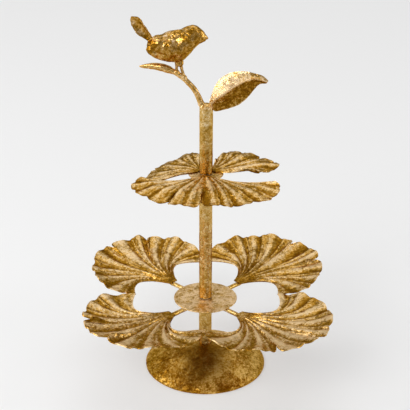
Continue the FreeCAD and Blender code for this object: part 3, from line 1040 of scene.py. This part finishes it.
def make_perch_leaf():
    path = smooth_path(above_fork([(-37.6, 38.9), (-48.5, 43.4), (-61.0, 45.6), (-77.4, 45.2)]), 16)
    share = np.linspace(0, 1, len(path))
    stations = [0, 0.2, 0.45, 0.7, 0.9, 1]
    half_up = np.interp(share, stations, mm(3.2, 4.6, 4.6, 3.8, 2.5, 0.9))
    half_side = np.interp(share, stations, mm(3.0, 4.6, 5.0, 3.8, 2.0, 0.35))
    rings = []
    for k, point in enumerate(path):
        along = path[min(k + 1, len(path) - 1)] - path[max(k - 1, 0)]
        along /= np.linalg.norm(along)
        up = np.array([along[2], 0, -along[0]])
        ring = circle_ring(point, (0, 1, 0), up, half_side[k], half_up[k], 40)
        groove, width = 0.9 * MM * math.sin(math.pi * share[k]), 1.1 * MM
        rings.append([
            p - up * groove * math.exp(-(p[1] / width) ** 2) * (np.dot(p - point, up) > 0)
            for p in ring
        ])
    piece = loft("slender_leaf", rings, twig_gilt)
    hammer(piece, 0.22 * MM, 5 * MM, 4.0)
    finish_mesh(piece)
    hand_over(piece, "finial", "gilt_leaf", "perch_leaf")


make_perch_leaf()

# %% [markdown]
# ## Folded leaf
# A pointed leaf creased along its midrib, the crease towards the front and both halves leaning
# back. It is a grid of rows along the midrib and columns from one edge to the other. The
# midrib and both edges are typed as lines. Light and shade are painted into the colour: the
# upper half paler, the lower half darker, and the midrib and the edges paler.

# %% Lines of the folded leaf

# (across, up) in mm from the middle of the fork's top, from the stalk to the tip
MIDRIB = [
    (5.0, -2.8), (9.5, 3.2), (17.0, 9.0), (25.0, 14.8), (33.0, 20.6), (41.0, 25.4),
    (49.0, 28.8), (57.0, 30.4), (65.0, 29.2), (70.6, 27.0),
]
UPPER_EDGE = [
    (3.2, -0.6), (5.4, 9.5), (9.2, 20.0), (14.6, 29.8), (23.5, 36.8), (34.0, 40.2),
    (46.0, 40.2), (57.0, 37.6), (66.0, 34.2), (72.0, 28.4),
]
LOWER_EDGE = [
    (6.4, -5.5), (10.8, -9.2), (19.0, -7.6), (28.5, -5.0), (37.5, -1.2), (45.5, 5.2),
    (51.8, 12.6), (57.0, 19.5), (62.4, 24.4), (69.6, 25.2),
]
print("stations along the leaf", len(MIDRIB))

# %% Folded leaf


def folded_point(spine, edge, side, row):
    """A point of the leaf in mm and its painted light. side runs from -1 to 1."""
    spread = abs(side)
    flat = spine + (edge - spine) * spread
    wide = np.linalg.norm(edge - spine)
    # the halves lean back from the crease and cup a little; their rims roll forward
    lean = 0.85 if side > 0 else 0.45
    depth = lean * wide * spread - 0.16 * wide * spread ** 3 - 0.30 * wide
    crease = math.exp(-(spread * wide / 0.8) ** 2)
    vein = 0.12 * math.sin(row * 0.62 + spread * 5.0) * min(1.0, 4 * spread) * (1 - spread)
    flat = flat - np.array([0, crease * 0.7 + vein, 0])
    # seen from a little above, a part that leans back looks higher, so it is lowered to match
    place = (flat[0] * MM, (flat[1] + depth) * MM, fork_top + (flat[2] - 0.45 * depth) * MM)
    # the upper half is painted paler as painted light and the lower half darker as painted shade;
    # the crease and the edges are painted paler
    wash = 0.85 if side > 0 else -0.25
    return place, max(wash, 1.2 * crease, 0.9 * max(0.0, spread - 0.93) / 0.07)


def make_folded_leaf():
    rows, columns = 90, 41
    lines = [
        smooth_path([(a, 0, b) for a, b in line], 20) for line in (MIDRIB, UPPER_EDGE, LOWER_EDGE)
    ]
    points, ridge = [], []
    for row in range(rows):
        k = row / (rows - 1) * (len(lines[0]) - 1)
        low = int(min(k, len(lines[0]) - 2))
        part = k - low
        spine, high_edge, low_edge = (p[low] * (1 - part) + p[low + 1] * part for p in lines)
        for column in range(columns):
            side = 2 * column / (columns - 1) - 1
            edge = high_edge if side > 0 else low_edge
            place, wash = folded_point(spine, edge, side, row)
            points.append(place)
            ridge.append(wash)
    faces = []
    for row in range(rows - 1):
        for column in range(columns - 1):
            a = row * columns + column
            faces.append((a, a + 1, a + columns + 1, a + columns))
    piece = mesh_piece("creased_leaf", points, faces, blade_gilt)
    mark = piece.data.attributes.new("ridge", "FLOAT", "POINT")
    mark.data.foreach_set("value", ridge)
    wall = piece.modifiers.new("wall", "SOLIDIFY")
    wall.thickness = 1.3 * MM
    wall.offset = 0.0
    settle(piece)
    hammer(piece, 0.30 * MM, 7 * MM, 6.0)
    finish_mesh(piece, 50)
    hand_over(piece, "finial", "gilt_leaf", "folded_leaf")


make_folded_leaf()

# %% [markdown]
# ## Bird
# A small plump bird cast in one piece. Its trunk is a loft of upright ovals from rump to crown,
# taken from a back line and a belly line.

# %% Bird's trunk and beak

# stations along the bird: across, back, belly, half width (mm, from the fork's top)
TRUNK = [
    (-68.2, 71.0, 65.5, 1.2), (-67.0, 75.5, 61.0, 5.0), (-64.0, 78.5, 58.6, 8.0),
    (-59.0, 80.9, 55.6, 10.6), (-52.0, 82.8, 53.0, 12.6), (-45.0, 86.2, 51.4, 13.8),
    (-38.0, 88.0, 50.6, 14.2), (-31.0, 89.0, 51.2, 13.9), (-25.0, 91.7, 54.2, 13.0),
    (-19.5, 94.0, 60.0, 11.8), (-14.0, 94.6, 66.8, 10.4), (-9.0, 92.2, 71.8, 8.6),
    (-5.0, 88.8, 74.0, 6.4), (-2.4, 85.6, 75.2, 4.2), (-1.2, 83.6, 76.0, 2.6),
]


def bird_trunk():
    """Upright ovals between a back line and a belly line, along X, centred on y = 0."""
    rings = []
    for across, back, belly, half in smooth_path(TRUNK, 6):
        centre = (across * MM, 0, fork_top + (back + belly) / 2 * MM)
        half_up = (back - belly) / 2 * MM
        rings.append(circle_ring(centre, (0, 1, 0), (0, 0, 1), half * MM, half_up, 40))
    return loft("trunk", rings, bird_gilt)


def bird_beak():
    path = smooth_path(above_fork([(-5.0, 80.6), (-1.0, 79.6), (2.0, 78.5)]), 6)
    return rod("beak", path, mm(4.6, 3.0, 0.7), bird_gilt, 20)


print("stations along the bird", len(TRUNK))

# %% [markdown]
# The wings are long flattened drops laid on the trunk, each with a second drop behind it, so
# that the lower edge stands proud. Eyes and thighs are small rounded lumps.

# %% Bird's wings, eyes and thighs

WING_LEAN = math.radians(-12)
WING_AXES = (
    (math.cos(WING_LEAN), 0, math.sin(WING_LEAN)),
    (0, 1, 0),
    (-math.sin(WING_LEAN), 0, math.cos(WING_LEAN)),
)
# name, middle (across, out, up) and half sizes, all in mm, and axes
SIDE_LUMPS = [
    ("wing", (-44, 11.2, 70.5), (20, 4.4, 9.0), WING_AXES),
    ("wing_tip", (-58, 7.6, 66.5), (11, 3.6, 7.0), WING_AXES),
    ("eye", (-7.6, 7.0, 85.2), (1.3, 1.3, 1.3), SQUARE_ON),
    ("thigh", (-31.0, 2.4, 50.0), (4.8, 3.2, 4.4), SQUARE_ON),
]


def bird_sides():
    parts = []
    for side in (-1, 1):
        for name, (across, out, up), sizes, axes in SIDE_LUMPS:
            centre = (across * MM, side * out * MM, fork_top + up * MM)
            parts.append(blob(name, centre, axes, mm(*sizes), bird_gilt))
    return parts


print("lumps on each side", len(SIDE_LUMPS))

# %% [markdown]
# The tail is a hollowed paddle raised behind the bird, twisted so that its hollow faces the
# front. It is a loft of flat ovals, each one bent into a trough.

# %% Bird's tail


def bird_tail():
    root, tip = np.array((-63.0, 0, 77.0)), np.array((-84.6, 0, 105.0))
    line = (tip - root) / np.linalg.norm(tip - root)
    across = np.array((0.65, -0.34, 0.68))
    across -= line * across.dot(line)
    across /= np.linalg.norm(across)
    thick = np.cross(line, across)
    facing = thick * (-1 if thick[1] > 0 else 1)
    rings = []
    for share in np.linspace(0, 1, 30):
        wide = np.interp(share, [0, 0.12, 0.40, 0.75, 0.93, 1], [3.6, 4.6, 7.4, 8.0, 5.2, 1.6])
        thin = np.interp(share, [0, 0.15, 0.6, 1], [3.2, 2.0, 1.4, 0.7])
        middle = (root + (tip - root) * share) * MM + np.array((0, 0, fork_top))
        ring = circle_ring(middle, across, thick, wide * MM, thin * MM, 40)
        trough = 4.6 * MM * math.sin(math.pi * min(1.0, share * 1.1))
        rings.append([
            p + facing * trough * (np.dot(p - middle, across) / (wide * MM)) ** 2 for p in ring
        ])
    return loft("tail", rings, bird_gilt)


print("tail ready")

# %% [markdown]
# The parts are fused into one skin. Then the surface is hammered twice, in broad dents and in
# fine ones, into the small flats that hold the gold leaf.

# %% Bird, fused and hammered


def make_bird():
    parts = [bird_trunk(), bird_beak(), *bird_sides(), bird_tail()]
    bird = fused("bird_casting", parts, 0.55 * MM, 5, bird_gilt)
    hammer(bird, 0.5 * MM, 5.5 * MM, 7.0)
    hammer(bird, 0.2 * MM, 2.4 * MM, 9.0)
    for vertex in bird.data.vertices:
        vertex.co.z = min(vertex.co.z, cad_box[1][2])
    finish_mesh(bird, 60)
    hand_over(bird, "finial", "gilt_bird", "bird")


make_bird()

# %% [markdown]
# ## Bird's legs
# Two thin legs run from the belly to the twig. They lean a little apart, and thicken at both
# ends, where the casting metal ran round them.

# %% Legs

LEGS = {"rear": ((-34.4, 39.4), (-34.2, 53.0)), "front": ((-26.4, 33.6), (-31.0, 53.0))}


def make_legs():
    for name, ends in LEGS.items():
        foot, hip = np.array(above_fork(ends))
        path = foot + (hip - foot) * np.linspace(0, 1, 14)[:, None]
        leg = rod(f"leg_{name}", path, mm(2.4, 1.8, 1.7, 1.9, 2.5, 3.0), bird_gilt, 20)
        hammer(leg, 0.25 * MM, 3 * MM, 1.0)
        finish_mesh(leg)
        hand_over(leg, "finial", "gilt_bird", f"bird_leg_{name}")


make_legs()

# %% [markdown]
# ## Hidden metalwork
# Plugs, studs and the bolt under the foot keep the frame's own shapes, because they are plain
# turned parts. They only need a finish: bare turned steel inside the post, zinc plate underneath.

# %% Finishes for the carried-over nodes

STEEL_NODES = ("lower_foot_plug", "lower_head_plug", "middle_foot_plug", "middle_head_plug",
               "top_foot_plug", "lower_stud", "upper_stud")
ZINC_NODES = ("base_bolt", "base_washer", "base_lock_washer")


def repaint(nodes, material):
    for node in nodes:
        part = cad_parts[node]
        part.data.materials.clear()
        part.data.materials.append(material)


repaint(STEEL_NODES, steel)
repaint(ZINC_NODES, zinc)
print("repainted", len(STEEL_NODES) + len(ZINC_NODES), "nodes")

# %% [markdown]
# ## Studio
# A pale floor that glows a little like a light table and is darker towards the front, a large
# soft light at the front left, one at each side and a broad one high up behind, under a sky
# that is dimmer near the horizon, so that the gold has bright and dark things to mirror.

# %% Floor


def make_floor():
    material, graph, shader, place = new_finish("floor")
    shader.inputs["Roughness"].default_value = 0.9
    shader.inputs["Emission Strength"].default_value = 0.88
    near = 1.0 - graph.part(place, "Y").step(-1.1, -0.24)
    paper = graph.blend(near, (0.44, 0.44, 0.44), (0.31, 0.31, 0.31))
    graph.feed(shader, "Emission Color", paper)
    graph.feed(shader, "Base Color", paper)
    half = 9
    corners = [(-half, -half, 0), (half, -half, 0), (half, half, 0), (-half, half, 0)]
    floor = mesh_piece("floor", corners, [(0, 1, 2, 3)], material)
    floor.location.z = -0.0002


make_floor()
print("floor ready")

# %% Lights and sky


def area_light(name, place, aim, size, power):
    lamp = bpy.data.lights.new(name, "AREA")
    lamp.size = size
    lamp.energy = power
    holder = show(name, lamp)
    holder.location = place
    holder.rotation_euler = (Vector(aim) - Vector(place)).to_track_quat("-Z", "Y").to_euler()


def make_studio():
    middle = (0, 0, 0.2)
    area_light("front_window", (-1.3, -1.7, 1.7), middle, 1.2, 30)
    area_light("left_window", (-2.1, 0.0, 1.0), middle, 1.0, 16)
    area_light("right_window", (2.2, -0.2, 0.9), middle, 0.9, 12)
    area_light("ceiling", (-0.3, 2.4, 4.6), (0, 2.4, 0), 5.0, 74)
    world = bpy.data.worlds.new("studio")
    bpy.context.scene.world = world
    world.use_nodes = True
    graph = Graph(world.node_tree)
    height = graph.part(graph.node("ShaderNodeTexCoord").other("Object"), "Z")
    background = world.node_tree.nodes["Background"]
    background.inputs["Color"].default_value = (1.0, 1.0, 1.0, 1.0)
    graph.feed(background, "Strength", 0.33 + height.step(0.02, 0.60) * 0.21)


make_studio()

# %% Camera


def make_camera():
    tilt = math.radians(24.2)
    distance, target = 1.456, Vector((0, 0, 0.2215))
    lens = bpy.data.cameras.new("camera")
    lens.sensor_width = 36.0
    lens.lens = 105.4
    holder = show("camera", lens)
    holder.location = target + Vector((0, -math.cos(tilt), math.sin(tilt))) * distance
    holder.rotation_euler = (target - holder.location).to_track_quat("-Z", "Y").to_euler()
    holder.rotation_euler.rotate_axis("Z", math.radians(0.25))
    lens.shift_x = -0.002
    bpy.context.scene.camera = holder


make_camera()
bpy.context.scene.view_settings.view_transform = "Standard"
print("camera at", tuple(round(v, 3) for v in bpy.context.scene.camera.location))
